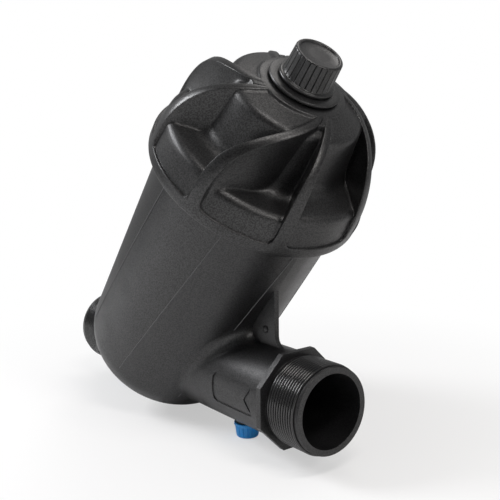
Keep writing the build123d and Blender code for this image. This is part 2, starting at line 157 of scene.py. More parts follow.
def floor_material():
    """Partly matt near the filter, plain white for the camera further out."""
    material, tree = empty_material("pale_floor")
    centred = add_node(tree, "ShaderNodeVectorMath", {"operation": "SUBTRACT"})
    wire(tree, centred.inputs[0], add_node(tree, "ShaderNodeTexCoord").outputs["Object"])
    wire(tree, centred.inputs[1], (filter_middle.x, filter_middle.y, 0.0))
    far = add_node(tree, "ShaderNodeVectorMath", {"operation": "LENGTH"})
    wire(tree, far.inputs[0], centred.outputs[0])
    fade = add_node(
        tree,
        "ShaderNodeMapRange",
        {"interpolation_type": "SMOOTHSTEP"},
        Value=far.outputs["Value"],
        From_Min=shadow_radius,
        From_Max=white_radius,
        To_Min=white_at_filter,
    )
    seen = add_node(tree, "ShaderNodeLightPath").outputs["Is Camera Ray"]
    share = maths(tree, "MULTIPLY", fade.outputs["Result"], seen)
    matt = add_node(tree, "ShaderNodeBsdfDiffuse", Color=matt_white)
    plain = add_node(tree, "ShaderNodeEmission", Color=white, Strength=1.0)
    surface = blend(tree, share, matt.outputs[0], plain.outputs[0])
    add_node(tree, "ShaderNodeOutputMaterial", Surface=surface)
    return material


def disc(name, radius, height, sides=96):
    """A flat round sheet."""
    turn = np.linspace(0, 2 * pi, sides, endpoint=False)
    rim = [(radius * cos(a), radius * sin(a), height) for a in turn]
    mesh = bpy.data.meshes.new(name)
    mesh.from_pydata(rim, [], [list(range(sides))])
    return bpy.data.objects.new(name, mesh)


floor = disc("floor", floor_radius, floor_height)
floor.data.materials.append(floor_material())
bpy.context.scene.collection.objects.link(floor)
print("floor at", floor_height)

# %% [markdown]
# Black plastic shows its form by what it reflects. The studio is pale behind the filter, grey
# at the sides and dark on the camera's side, so the reflections are bright at the edges of each
# round shape and die away in its middle. The surround lights matt surfaces evenly, and only
# its reflection follows that pattern. The camera itself sees plain white.

# %% Surround
pale, grey, dark = 0.5, 0.37, 0.06
even_light = 0.32

world = bpy.data.worlds.new("studio")
bpy.context.scene.world = world
world.use_nodes = True
tree = world.node_tree
tree.nodes.clear()
paths = add_node(tree, "ShaderNodeLightPath").outputs
to_camera = add_node(tree, "ShaderNodeVectorMath", {"operation": "DOT_PRODUCT"})
wire(tree, to_camera.inputs[0], add_node(tree, "ShaderNodeTexCoord").outputs["Generated"])
wire(tree, to_camera.inputs[1], tuple(back))


def studio_part(start, end, low, high):
    """Brightness that changes smoothly between two directions. 1 is towards the camera."""
    smooth = {"interpolation_type": "SMOOTHSTEP"}
    part = add_node(tree, "ShaderNodeMapRange", smooth, Value=to_camera.outputs["Value"])
    for name, value in (("From Min", start), ("From Max", end), ("To Min", low), ("To Max", high)):
        wire(tree, part.inputs[name], value)
    return part.outputs["Result"]


studio = maths(tree, "ADD", studio_part(0.0, 0.95, grey, dark), studio_part(-0.93, -1.0, 0.0, pale))
even = add_node(tree, "ShaderNodeBackground", Color=white, Strength=even_light)
mirrored = add_node(tree, "ShaderNodeBackground", Color=white, Strength=studio)
white_view = add_node(tree, "ShaderNodeBackground", Color=white, Strength=1.0)
lighting = blend(tree, paths["Is Glossy Ray"], even.outputs[0], mirrored.outputs[0])
clear_view = maths(tree, "MAXIMUM", paths["Is Camera Ray"], paths["Is Transmission Ray"])
surround = blend(tree, clear_view, lighting, white_view.outputs[0])
add_node(tree, "ShaderNodeOutputWorld", Surface=surround)
print("surround made")

# %% [markdown]
# Four soft boxes do the rest: a large one on the left as the main light, a weak one overhead, a
# long one above the camera whose reflection runs along the shoulders of the cover, and one at
# the camera's right that lights the side of each thread turn which faces the inlet's mouth.
# The left one is a little cooler than the others, as in the photograph.


# %% Soft boxes
def soft_box(name, place, aim, wide, high, watts, tint):
    """A rectangular lamp that points at a place."""
    lamp = bpy.data.lights.new(name, "AREA")
    lamp.shape = "RECTANGLE"
    lamp.size = wide
    lamp.size_y = high
    lamp.energy = watts
    lamp.color = tint
    made = bpy.data.objects.new(name, lamp)
    made.location = place
    made.rotation_mode = "QUATERNION"
    made.rotation_quaternion = (Vector(aim) - Vector(place)).to_track_quat("-Z", "Y")
    bpy.context.scene.collection.objects.link(made)


cool, warm = (0.97, 0.975, 1.0), (1.0, 0.965, 0.94)
left_place = filter_middle - 0.85 * right + 0.66 * above + 0.08 * back
top_place = filter_middle + 0.95 * above + 0.25 * right - 0.1 * back
front_place = filter_middle + 0.22 * right + 0.79 * above + 0.74 * back
right_place = filter_middle + 0.7 * right + 0.4 * above + 0.92 * back
soft_box("left_box", left_place, filter_middle, wide=0.4, high=0.4, watts=8.6, tint=cool)
soft_box("top_box", top_place, filter_middle, wide=0.35, high=0.35, watts=1.4, tint=warm)
soft_box("front_box", front_place, filter_middle, wide=0.5, high=0.16, watts=3.6, tint=warm)
soft_box("right_box", right_place, filter_middle, wide=0.28, high=0.28, watts=3.5, tint=warm)
print("lamps placed")

# %% [markdown]
# ## Moulded plastic
#
# The body, the cover and the drain cap are black glass-filled plastic. A mould leaves such a
# part satin: even in colour, with a fine grain that breaks up the reflections. Flat colour
# would look like paint, so the material has layers of detail. A slow noise changes the tone
# and the gloss a little, and a fine noise gives the grain. A third one, as coarse as sand,
# makes tiny spots shine more or less, which gives the plastic its sparkle, and it also lifts
# the grain of the cover's panels. A bevel in the shading rounds every sharp edge.


# %% Plastic finish
sand_size = 0.9 * mm
panel_dulling = 0.06


def moulded_plastic(
    name, dark, light, gloss, dull, grain=0.6 * mm, depth=0.02 * mm, edge=0.5 * mm, leather=0.0, sparkle=0.1
):
    """Satin plastic. Grain and depth are the size and height of its grain, and edge is the
    radius of its sharp edges. Leather is how many times higher the sandy grain stands where
    the mesh's panel value is 1, and sparkle is how far the shine of single spots varies."""
    material, tree = empty_material(name)
    place = add_node(tree, "ShaderNodeTexCoord").outputs["Object"]
    slow = add_node(tree, "ShaderNodeTexNoise", Vector=place, Scale=45.0, Detail=3.0, Roughness=0.55)
    fine = add_node(tree, "ShaderNodeTexNoise", Vector=place, Scale=1 / grain, Detail=2.0, Roughness=0.6)
    sand = add_node(tree, "ShaderNodeTexNoise", Vector=place, Scale=1 / sand_size, Detail=1.0)
    tone = add_node(tree, "ShaderNodeMix", {"data_type": "RGBA"}, Factor=slow.outputs[0])
    wire(tree, tone.inputs[6], (*dark, 1))
    wire(tree, tone.inputs[7], (*light, 1))
    shine = add_node(tree, "ShaderNodeMapRange", Value=slow.outputs[0], From_Min=0.3, From_Max=0.7)
    wire(tree, shine.inputs["To Min"], gloss)
    wire(tree, shine.inputs["To Max"], dull)
    glint = add_node(tree, "ShaderNodeMapRange", Value=sand.outputs[0], From_Min=0.36, From_Max=0.64)
    wire(tree, glint.inputs["To Min"], 0.5 - sparkle)
    wire(tree, glint.inputs["To Max"], 0.5 + sparkle)
    height, roughness = fine.outputs[0], shine.outputs[0]
    if leather:
        panel = add_node(tree, "ShaderNodeAttribute", {"attribute_name": "panel"}).outputs["Fac"]
        lift = maths(tree, "MULTIPLY", sand.outputs[0], panel)
        height = maths(tree, "MULTIPLY_ADD", lift, leather, fine.outputs[0])
        roughness = maths(tree, "MULTIPLY_ADD", panel, panel_dulling, roughness)
    round_edges = add_node(tree, "ShaderNodeBevel", {"samples": 4}, Radius=edge)
    bump = add_node(tree, "ShaderNodeBump", Height=height, Distance=depth, Normal=round_edges.outputs[0])
    shader = add_node(
        tree,
        "ShaderNodeBsdfPrincipled",
        Base_Color=tone.outputs[2],
        Roughness=roughness,
        IOR=1.56,
        Specular_IOR_Level=glint.outputs[0],
        Normal=bump.outputs[0],
    )
    add_node(tree, "ShaderNodeOutputMaterial", Surface=shader.outputs[0])
    return material


# %% [markdown]
# One function serves for all the plastics, because they differ only in colour, gloss and grain.
# The cover is the blackest and has the sandiest panels. The threads are smoother than the body
# and painted a little paler, a painted lightening that makes their turns look lit, and the tap
# caps are a glossy blue.

# %% The plastics
body_black = (0.005, 0.005, 0.0055), (0.008, 0.008, 0.0088)
cover_black = (0.004, 0.004, 0.0043), (0.006, 0.006, 0.0065)
# Painted lightening: the threads' black is paler than the body's, so that their turns look lit.
thread_black_painted_paler = (0.012, 0.012, 0.0125), (0.018, 0.018, 0.0185)
# Painted highlight: the seams are painted grey, much paler than the body, so that the thin lines look lit.
seam_painted_highlight_grey = (0.06, 0.06, 0.062), (0.08, 0.08, 0.082)
tap_blue = (0.014, 0.25, 0.66), (0.022, 0.33, 0.80)
body_plastic = moulded_plastic("body_plastic", *body_black, 0.36, 0.46, depth=0.03 * mm, sparkle=0.13)
cover_plastic = moulded_plastic("cover_plastic", *cover_black, 0.32, 0.41, leather=4.0, sparkle=0.16)
cap_plastic = moulded_plastic("cap_plastic", *cover_black, 0.30, 0.38)
thread_plastic = moulded_plastic(
    "thread_plastic", *thread_black_painted_paler, 0.14, 0.2, depth=0.003 * mm, edge=0.2 * mm, sparkle=0.0
)
seam_painted_highlight = moulded_plastic("seam_painted_highlight", *seam_painted_highlight_grey, 0.36, 0.46, edge=0.1 * mm, sparkle=0.0)
blue_plastic = moulded_plastic("blue_plastic", *tap_blue, 0.26, 0.34, edge=0.3 * mm)
print("plastics:", [material.name for material in bpy.data.materials])

# %% [markdown]
# ## The slanted frame
#
# The vessel, its cover and the drain cap share one slanted axis. It is easiest to build each
# of them standing up on its own axis and to lean the finished mesh over at the end. The sizes
# are those of the CAD source, in millimetres, with heights measured up the slanted axis.

# %% Slanted frame and sizes
tilt = radians(49.5)
vessel_foot = Vector((-195.1, 0, 0)) * mm
vessel_up = Vector((cos(tilt), 0, sin(tilt)))
vessel_side = Vector((sin(tilt), 0, -cos(tilt)))
lean_over = Matrix.Translation(vessel_foot) @ Matrix(
    (Vector((0, -1, 0)), vessel_side, vessel_up)
).transposed().to_4x4()

rim_r = 74.9
band_top = 197.0
swell_rise = 68.9
swell_power = 2.4
cover_quarters = 4
print("vessel axis points along", [round(v, 3) for v in vessel_up])

# %% [markdown]
# ## Copies round an axis
#
# Moulded parts like these are full of turns of one shape: four pairs of ribs on the cover,
# twenty-six flats on the drain cap, sixteen on each blue cap. Modelling one slice and letting
# Geometry Nodes turn it round the axis keeps all copies alike, and welding the seams gives
# one closed skin.


# %% Geometry Nodes: copies round an axis
def node_group(name, inputs):
    """A Geometry Nodes group with named inputs, each of a kind and with a value to start from."""
    tree = bpy.data.node_groups.new(name, "GeometryNodeTree")
    for label, kind, value in inputs:
        socket = tree.interface.new_socket(label, in_out="INPUT", socket_type="NodeSocket" + kind)
        if value is not None:
            socket.default_value = value
    tree.interface.new_socket("Result", in_out="OUTPUT", socket_type="NodeSocketGeometry")
    return tree, tree.nodes.new("NodeGroupInput").outputs


def copies_round(tree, piece, count):
    """Turns copies of a piece evenly about Z, as instances."""
    points = add_node(tree, "GeometryNodePoints", Count=count)
    number = add_node(tree, "GeometryNodeInputIndex").outputs[0]
    angle = maths(tree, "DIVIDE", maths(tree, "MULTIPLY", number, 2 * pi), count)
    turn = add_node(tree, "ShaderNodeCombineXYZ", Z=angle)
    rotation = add_node(tree, "FunctionNodeEulerToRotation", Euler=turn.outputs[0])
    copies = add_node(tree, "GeometryNodeInstanceOnPoints", Points=points.outputs[0], Instance=piece)
    wire(tree, copies.inputs["Rotation"], rotation.outputs[0])
    return copies.outputs[0]


def end_group(tree, geometry, finish):
    """Gives the result its material and hands it over."""
    painted = add_node(tree, "GeometryNodeSetMaterial", Geometry=geometry, Material=finish)
    wire(tree, tree.nodes.new("NodeGroupOutput").inputs[0], painted.outputs[0])


def turned_copies_tree():
    """Turns a slice about Z, welds the copies and gives them their material."""
    inputs = (
        ("Slice", "Geometry", None),
        ("Copies", "Int", 4),
        ("Weld distance", "Float", 0.01 * mm),
        ("Finish", "Material", None),
    )
    tree, given = node_group("turned_copies", inputs)
    copies = copies_round(tree, given["Slice"], given["Copies"])
    real = add_node(tree, "GeometryNodeRealizeInstances", Geometry=copies)
    weld = add_node(tree, "GeometryNodeMergeByDistance", Geometry=real.outputs[0])
    wire(tree, weld.inputs["Distance"], given["Weld distance"])
    end_group(tree, weld.outputs[0], given["Finish"])
    return tree


turned_copies = turned_copies_tree()
print("inputs:", [item.name for item in turned_copies.interface.items_tree])


# %% [markdown]
# A modifier's inputs are set by the identifiers of its sockets, before Blender first works
# the result out. The result is then read back as a plain mesh, so the finished piece carries
# no live modifier.


# %% Run a node group and keep its result
def run_tree(name, tree, values, source=None):
    """Runs a Geometry Nodes group on a mesh and returns the result as a new mesh."""
    carrier = bpy.data.objects.new(name + "_work", source or bpy.data.meshes.new(name + "_start"))
    bpy.context.scene.collection.objects.link(carrier)
    modifier = carrier.modifiers.new("nodes", "NODES")
    modifier.node_group = tree
    for item in tree.interface.items_tree:
        if item.item_type == "SOCKET" and item.in_out == "INPUT" and item.name in values:
            modifier[item.identifier] = values[item.name]
    seen = bpy.context.evaluated_depsgraph_get()
    result = bpy.data.meshes.new_from_object(carrier.evaluated_get(seen))
    result.name = name
    bpy.data.objects.remove(carrier)
    return result


# %% [markdown]
# A finished piece is shaded smooth, except along edges where its faces meet at a sharp angle.
# It then rides on a body of the CAD model, so that it moves with it, and where it dresses a
# plain CAD shape it takes that shape's place.


# %% Hand a finished piece over
def show(name, mesh, body, stands_for=(), sharp=40.0):
    """Links a finished mesh as a piece that rides on a CAD body."""
    mesh.name = name
    mesh.shade_smooth()
    mesh.set_sharp_from_angle(angle=radians(sharp))
    piece = bpy.data.objects.new(name, mesh)
    bpy.context.scene.collection.objects.link(piece)
    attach(piece, body)
    if stands_for:
        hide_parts(*stands_for)
    print(name, "has", len(mesh.polygons), "faces")


# %% [markdown]
# Nearly every piece here is round, so its slice is easiest to give as rows of points by radius,
# angle and height. One row joined to the next makes a strip of four-sided faces.


# %% Slices of skin
def polar_slice(name, rows, closed=False):
    """A slice of skin. Each row is a list of (radius, angle in radians, height), in millimetres."""
    points = np.array(rows, dtype=float)
    count, across = points.shape[:2]
    where = np.stack(
        [
            points[..., 0] * np.cos(points[..., 1]),
            points[..., 0] * np.sin(points[..., 1]),
            points[..., 2],
        ],
        axis=-1,
    )
    faces = []
    for i in range(count if closed else count - 1):
        one, two = i * across, (i + 1) % count * across
        for j in range(across - 1):
            faces.append((one + j, two + j, two + j + 1, one + j + 1))
    mesh = bpy.data.meshes.new(name)
    mesh.from_pydata((where.reshape(-1, 3) * mm).tolist(), [], faces)
    return mesh


# %% [markdown]
# ## The cover: where its ribs run
#
# The cover is the piece that everyone remembers. Four pairs of ribs leave the drain collar
# together and part on their way out, one leaning a little and one leaning a lot, until all
# eight reach the rim evenly spaced. Between them are eight sunk panels. Real covers are
# moulded this way so that a hand or a strap wrench can grip them.


# %% Rib paths
rib_root_r = 26.0
rib_half = 2.5
rib_flare = 1.8
rib_flare_start = 58.0
# Each rib has its angle at the rim, its sweep towards the collar, both in degrees, and how
# late it bends.
long_rib = (22.5, 65.5, 1.65)
short_rib = (67.5, 26.0, 1.5)
next_long_rib = (112.5, 65.5, 1.65)
narrow_start = 35.0
wide_start = 29.0


def rib_middle(radius, end_angle, sweep, power):
    """Angle of a rib's middle line in degrees."""
    part = np.clip((rim_r - radius) / (rim_r - rib_root_r), 0.0, 1.5)
    return end_angle + sweep * part**power


def rib_lines(radius, end_angle, sweep, power):
    """Middle angle in radians, half width in millimetres, and millimetres for a radian."""
    step = 0.5
    here = rib_middle(radius, end_angle, sweep, power)
    turn = np.radians(rib_middle(radius - step, end_angle, sweep, power) - here) / step
    flare = np.clip((radius - rib_flare_start) / (rim_r - rib_flare_start), 0.0, 1.0)
    return np.radians(here), rib_half + rib_flare * flare, radius * np.cos(np.arctan(radius * turn))


print("ribs end at", long_rib[0], "and", short_rib[0], "degrees in each quarter")

# %% [markdown]
# The skin over the ribs is a strip of columns that run along them. Each rib has seven, set
# close at its two edges so that the edges can be round. Each panel has six beside either rib,
# for the fillet at the rib's foot and the bend of its wall, and nine more over its middle.
# Where a panel is narrow near the collar, its columns draw together.

# %% Columns of the cover
rib_edge = (0.24, 0.8)
floor_steps = [0.05, 0.5, 1.55, 2.5, 3.5, 4.6]
floor_between = 9
full_room = 12.0
least_room = 0.1


def rib_columns(radius, line):
    """Angles of the seven columns over a rib."""
    middle, half, scale = rib_lines(radius, *line)
    outer, inner = (half - edge for edge in rib_edge)
    return [middle + step / scale for step in (-half, -outer, -inner, 0.0, inner, outer, half)]


def floor_columns(radius, one, other):
    """Angles of the columns over a panel, and how far each is from the nearer rib."""
    first, half_one, scale_one = rib_lines(radius, *one)
    last, half_two, scale_two = rib_lines(radius, *other)
    low, high = first + half_one / scale_one, last - half_two / scale_two
    room = (high - low) * min(scale_one, scale_two)
    squeeze = min(1.0, max(room, least_room) / full_room)
    near = [step * squeeze for step in floor_steps]
    inner_low = low + near[-1] / scale_one
    inner_high = high - near[-1] / scale_two
    between = np.linspace(inner_low, inner_high, floor_between + 2)[1:-1]
    angles = [low + step / scale_one for step in near] + list(between)
    angles += [high - step / scale_two for step in reversed(near)]
    apart = [min(a - low, high - a) * min(scale_one, scale_two) for a in angles]
    return angles, [max(0.0, a) for a in apart]


def cover_columns(radius):
    """Angles of all columns of a quarter of the cover at a radius."""
    radius = max(radius, wide_start)
    here = rib_columns(radius, long_rib)
    rib_gap = [0.0] * len(here)
    narrow, narrow_gap = floor_columns(max(radius, narrow_start), long_rib, short_rib)
    here += narrow + rib_columns(radius, short_rib)
    if radius < narrow_start:
        at_start = rib_columns(narrow_start, long_rib) + narrow + rib_columns(narrow_start, short_rib)
        first, last = here[0], here[-1]
        span = at_start[-1] - at_start[0]
        here = [first + (a - at_start[0]) / span * (last - first) for a in at_start]
    wide, wide_gap = floor_columns(radius, short_rib, next_long_rib)
    here += wide + [rib_columns(radius, next_long_rib)[0]]
    return np.array(here), rib_gap + narrow_gap + rib_gap + wide_gap + [0.0]


print("columns in a quarter:", len(cover_columns(rim_r)[0]))

# %% [markdown]
# The floor of a panel is drawn as a few straight lines between corners, as on a drawing board.
# Rounding each corner with an arc is what gives the panels their soft, poured look.


# %% Lines with round corners
def rounded_line(corners, radii, arc_points=8, line_points=4):
    """Points along a line of corners whose inner corners are rounded by arcs."""
    corners = [np.array(corner, float) for corner in corners]
    made = [corners[0]]
    for before, corner, after, radius in zip(corners, corners[1:], corners[2:], radii):
        into = (corner - before) / np.linalg.norm(corner - before)
        out = (after - corner) / np.linalg.norm(after - corner)
        turn = np.arccos(np.clip(into @ out, -1, 1))
        last, start = made[-1], corner - into * radius * np.tan(turn / 2)
        made += [last + (start - last) * t for t in np.linspace(0, 1, line_points + 1)[1:-1]]
        hand = np.sign(into[0] * out[1] - into[1] * out[0])
        middle = start + np.array([-into[1], into[0]]) * hand * radius
        for t in hand * np.linspace(0, turn, arc_points):
            x, y = start - middle
            turned = np.array([np.cos(t) * x - np.sin(t) * y, np.sin(t) * x + np.cos(t) * y])
            made.append(middle + turned)
    return made


# %% [markdown]
# The ribs' tops lie on a smooth dome, a little fuller than an ellipse. The panels' floors follow
# a waisted line instead: a crest near the collar, a deep valley, a shoulder, and a steep fall
# to the rim band. In the wide panels the crest is almost level with the ribs, and in the narrow
# ones it lies deeper and nearer to the axis.


# %% Dome and waist
def dome_height(radius):
    """Height of the ribs' tops at a radius."""
    part = max(0.0, 1 - (radius / rim_r) ** swell_power)
    return band_top + swell_rise * part ** (1 / swell_power)


def dome_radius(height):
    """Radius of the ribs' tops at a height."""
    part = max(0.0, 1 - ((height - band_top) / swell_rise) ** swell_power)
    return rim_r * part ** (1 / swell_power)


summit = (24.0, 263.2)
waist_start = 36.5
crests = {"narrow": (40.4, 255.0), "wide": (44.6, 256.1)}
valleys = {"narrow": (45.3, 213.6), "wide": (49.5, 220.8)}
shoulders = {"narrow": (69.8, 214.2), "wide": (70.8, 217.8)}
wall_foot = (73.3, band_top)
waist_radii = [6.0, 9.0, 6.0]


def waist_at(radius, kind):
    """Height of the waisted line between summit and crest."""
    crest = crests[kind]
    return summit[1] + (radius - summit[0]) * (crest[1] - summit[1]) / (crest[0] - summit[0])


waists = {}
for kind in ("narrow", "wide"):
    start = (waist_start, waist_at(waist_start, kind))
    corners = [start, crests[kind], valleys[kind], shoulders[kind], wall_foot]
    waists[kind] = rounded_line(corners, waist_radii)
    print("the floor of the", kind, "panels is a line of", len(waists[kind]), "points")


# %% [markdown]
# A quarter of the cover is one long strip of rows. It starts in the drain bore, comes up over
# the nozzle and its collar, runs out over ribs and panels, turns down the rim band and goes
# back inside to where it started. Rows follow the radius and columns follow the ribs, so each
# rib keeps a crisp wall, a slightly rounded top edge and a small fillet at its foot. Each column
# is told whether it lies on a rib or on a panel, how far it drops at a rib's edge, and how far
# it lifts at a rib's foot.

# %% What each column does
rib_drops = [0.8, 0.235, 0.0, 0.0, 0.0, 0.235, 0.8]
foot_lifts = [1.5, 0.45, 0.0]
floor_count = 2 * len(floor_steps) + floor_between
rib_level, floor_level = [0.0] * len(rib_drops), [0.0] * floor_count
floor_lifts = foot_lifts + [0.0] * (floor_count - 2 * len(foot_lifts)) + foot_lifts[::-1]
kinds = ["rib"] * len(rib_drops) + ["narrow"] * floor_count
kinds += ["rib"] * len(rib_drops) + ["wide"] * floor_count + ["rib"]
drops = rib_drops + floor_level + rib_drops + floor_level + rib_drops[:1]
lifts = rib_level + floor_lifts + rib_level + floor_lifts + [0.0]
on_ribs = kinds.count("rib")
print("columns:", on_ribs, "on ribs and", len(kinds) - on_ribs, "on panels")

# %% [markdown]
# A panel doesn't start at once. Its floor sinks from the dome over a short lip, and the lip of
# the wide panels lies nearer to the axis. Where a rib stands on a sunk floor, its top edge is
# pulled in square to the dome, which rounds it evenly however steep the dome is there.

# %% Rows over the ribs and panels
lip_inside, lip_width = 0.45, 1.1
foot_rise = 4.5
far_from_rib = 9.0
fade_lift = 0.4


def panel_share(radius, narrow):
    """How far a panel has sunk: nothing inside its start, all of it just outside."""
    start = narrow_start if narrow else wide_start
    t = min(1.0, max(0.0, (radius - start + lip_inside) / lip_width))
    return t * t * (3 - 2 * t)


def foot_height(apart):
    """Lower edge of a panel: flat at the band, with a quarter circle at each rib."""
    return band_top + foot_rise - np.sqrt(max(0.0, foot_rise**2 - max(0.0, foot_rise - apart) ** 2))


def rib_skin(radius, drop):
    """A point on a rib's top, pulled inwards square to the dome by a small drop."""
    rise = dome_height(radius)
    outward = (radius / rim_r) ** (swell_power - 1) / rim_r
    upward = ((rise - band_top) / swell_rise) ** (swell_power - 1) / swell_rise
    square = np.array([outward, upward]) / np.hypot(outward, upward)
    return np.array([radius, rise]) - drop * square


def swirl_row(radius, floor_point, fade=1.0):
    """One row over ribs and panels. The floor point of a panel depends on its kind and on the
    gap to the nearer rib. Fade makes the round edges of the ribs smaller."""
    open_share = max(panel_share(radius, True), panel_share(radius, False))
    here = {"rib": cover_columns(radius)}
    for kind in ("narrow", "wide"):
        here[kind] = cover_columns(floor_point(kind, far_from_rib)[0])
    row = []
    for i, (kind, drop, lift) in enumerate(zip(kinds, drops, lifts)):
        angle, gap = here[kind][0][i], here[kind][1][i]
        if kind == "rib":
            r, h = rib_skin(radius, drop * fade * open_share)
        else:
            r, h = floor_point(kind, gap)
            share = panel_share(r, kind == "narrow")
            top = dome_height(min(r, rim_r))
            deep = max(0.0, top - h)
            h = top - share * deep + min(lift, fade_lift * deep * share)
        row.append((r, angle, h))
    return row


def plain_row(radius, height):
    """One row of a plain turned surface."""
    angles, _ = cover_columns(min(radius, rim_r))
    return [(radius, a, height) for a in angles]


valley_depth = dome_height(valleys["wide"][0]) - valleys["wide"][1]
print("a wide panel's valley lies", round(valley_depth, 1), "mm under the ribs")

# %% [markdown]
# The strip starts inside the drain nozzle, goes over its mouth and down to the collar, and then
# meets the ribs. Its rows stand closer together where the two kinds of panel begin, because the
# skin turns sharply down there, and further out they follow the points of the two waisted lines.

# %% From the nozzle to the panels' outer wall
nozzle_bore = [(9.5, 258.4), (9.5, 270.0), (9.5, 281.1)]
nozzle_mouth = [(9.9, 281.5), (11.9, 281.5), (12.35, 281.05)]
nozzle_side = [(12.35, 268.0), (12.7, 267.1), (13.4, 266.8)]
collar_top = [(19.0, 266.8), (22.8, 266.8), (23.4, 266.6)]
collar_edge = [(23.7, 266.1), (23.7, 265.2), (23.4, 264.8), (22.8, 264.6)]
collar_groove = [(21.9, 264.6), (21.5, 264.3), (21.5, 263.95), (21.8, 263.6), (23.5, 263.6)]
nozzle_rows = nozzle_bore + nozzle_mouth + nozzle_side + collar_top + collar_edge + collar_groove
cover_rows = [plain_row(r, h) for r, h in nozzle_rows]

before_wide = [25.7, 26.6, 27.6, 28.4]
over_wide_lip = [28.7, 28.9, 29.1, 29.3, 29.5, 29.7]
before_narrow = [30.6, 32.0, 33.4, 34.4]
over_narrow_lip = [34.7, 34.9, 35.1, 35.3, 35.5, 35.7, 36.3]
for r in before_wide + over_wide_lip + before_narrow + over_narrow_lip:
    cover_rows.append(swirl_row(r, lambda kind, gap, r=r: (r, waist_at(r, kind))))

for narrow, wide in list(zip(waists["narrow"], waists["wide"]))[:-1]:
    floor_points = {"narrow": tuple(narrow), "wide": tuple(wide)}
    middle_r = (narrow[0] + wide[0]) / 2
    cover_rows.append(swirl_row(middle_r, lambda kind, gap, f=floor_points: f[kind]))
print("rows so far:", len(cover_rows))

# %% [markdown]
# Each panel ends in a steep wall that falls to the rim band. The wall's lower edge isn't level:
# it rises in a quarter circle beside each rib, so the panels look like windows with rounded
# corners. Outside the wall a narrow ledge rounds over into the band.

# %% Outer wall and ledge
wall_tops = {kind: tuple(waists[kind][-2]) for kind in waists}


def on_wall(kind, height):
    """Radius of the panel's steep outer wall at a height."""
    top_r, top_h = wall_tops[kind]
    return top_r + (wall_foot[0] - top_r) * (top_h - height) / (top_h - wall_foot[1])


def down_wall(part):
    """Floor point a part of the way down the outer wall."""

    def point(kind, gap):
        top_h = wall_tops[kind][1]
        height = top_h + part * (foot_height(gap) - top_h)
        return on_wall(kind, height), height

    return point


def over_ledge(part, lower):
    """Floor point a part of the way over the narrow ledge between wall and dome."""

    def point(kind, gap):
        low = foot_height(gap)
        start = on_wall(kind, low)
        return start + part * (dome_radius(low) - start), low - lower

    return point


start_r = (wall_tops["narrow"][0] + wall_tops["wide"][0]) / 2
for part in (0.2, 0.4, 0.6, 0.8, 1.0):
    cover_rows.append(swirl_row(start_r + part * (wall_foot[0] - start_r), down_wall(part)))

ledge_steps = (
    {"part": 0.35, "lower": 0.0, "rib_rise": 15.0, "fade": 0.9},
    {"part": 0.65, "lower": 0.05, "rib_rise": 11.0, "fade": 0.8},
    {"part": 0.84, "lower": 0.18, "rib_rise": 7.5, "fade": 0.7},
    {"part": 0.96, "lower": 0.42, "rib_rise": 4.2, "fade": 0.5},
    {"part": 1.0, "lower": 0.8, "rib_rise": 1.5, "fade": 0.3},
)
for step in ledge_steps:
    ledge = over_ledge(step["part"], step["lower"])
    cover_rows.append(swirl_row(dome_radius(band_top + step["rib_rise"]), ledge, step["fade"]))
print("rows so far:", len(cover_rows))

# %% [markdown]
# Below the ribs the strip turns down the band, under the rim, up the thread bore, over the
# seal's groove and back along the inside of the shell, with the short skirt that holds the
# filter element down.

# %% Inside of the cover
band = [(rim_r, 195.8), (rim_r, 193.0), (rim_r, 189.7)]
under_rim = [(74.75, 189.25), (74.4, 189.0), (71.0, 189.0), (67.4, 189.0), (66.7, 189.7)]
thread_bore = [(66.6, 192.0), (66.6, 199.0), (66.6, 205.6)]
seal_groove = [(66.2, 205.6), (66.2, 209.4), (61.8, 209.4), (61.8, 205.6)]
seal_lip = [(58.0, 205.6), (58.0, 210.2)]
to_skirt = [(57.6, 210.5), (53.0, 209.22), (47.9, 207.8), (47.5, 207.4)]
skirt = [(47.5, 195.7), (47.1, 195.3), (44.9, 195.3), (44.5, 195.7), (44.5, 206.0), (44.5, 217.5)]
shell_inside = [(42.8, 224.0), (40.7, 232.1), (38.5, 240.5), (36.6, 247.8), (35.3, 251.0)]
under_top = [(32.0, 252.95), (27.4, 255.65), (22.7, 258.4), (15.0, 258.4)]
inner_rows = band + under_rim + thread_bore + seal_groove + seal_lip
inner_rows += to_skirt + skirt + shell_inside + under_top
cover_rows += [plain_row(r, h) for r, h in inner_rows]
print("rows in all:", len(cover_rows))

# %% [markdown]
# The rows become a mesh of a quarter of the cover, and the node group turns it into the whole.
# The plastic looks sandier in the panels than on the ribs, so the mesh also carries a value
# that tells the material where the panels are.


# %% The whole cover
panel_grain, plain_grain = 1.0, 0.3
nearly_sunk = 0.9


def facing_out(mesh):
    """Turns a closed mesh's faces round if they point inwards."""
    mesh.calc_loop_triangles()
    points = np.array([v.co for v in mesh.vertices])
    corners = points[np.array([t.vertices for t in mesh.loop_triangles])]
    volume = np.einsum("ij,ij->i", corners[:, 0], np.cross(corners[:, 1], corners[:, 2])).sum() / 6
    if volume < 0:
        mesh.flip_normals()
    return abs(volume)


quarter = polar_slice("cover_quarter", cover_rows, closed=True)
panel = quarter.attributes.new("panel", "FLOAT", "POINT")
for i, row in enumerate(cover_rows):
    in_panels = len(nozzle_rows) <= i < len(cover_rows) - len(inner_rows)
    for j, kind in enumerate(kinds):
        sunk = panel_share(row[j][0], kind == "narrow") > nearly_sunk
        grained = in_panels and kind != "rib" and sunk
        panel.data[i * len(kinds) + j].value = panel_grain if grained else plain_grain

cover_values = {"Copies": cover_quarters, "Finish": cover_plastic}
cover_mesh = run_tree("cover_shell", turned_copies, cover_values, quarter)
volume = facing_out(cover_mesh)
cover_mesh.transform(lean_over)
show("cover_shell", cover_mesh, "cover", ["cover"], sharp=38)
print("cover plastic, cubic centimetres:", round(volume * 1e6, 1))

# %% [markdown]
# ## The drain cap and the two blue caps
#
# All three are small screw caps with a knurled side: broad flats with a thin groove between
# each two, so that fingers can grip them. The same slice does for all, with other sizes. The
# drain cap has a bead round its foot and a slightly sunk top inside a thin raised rim.


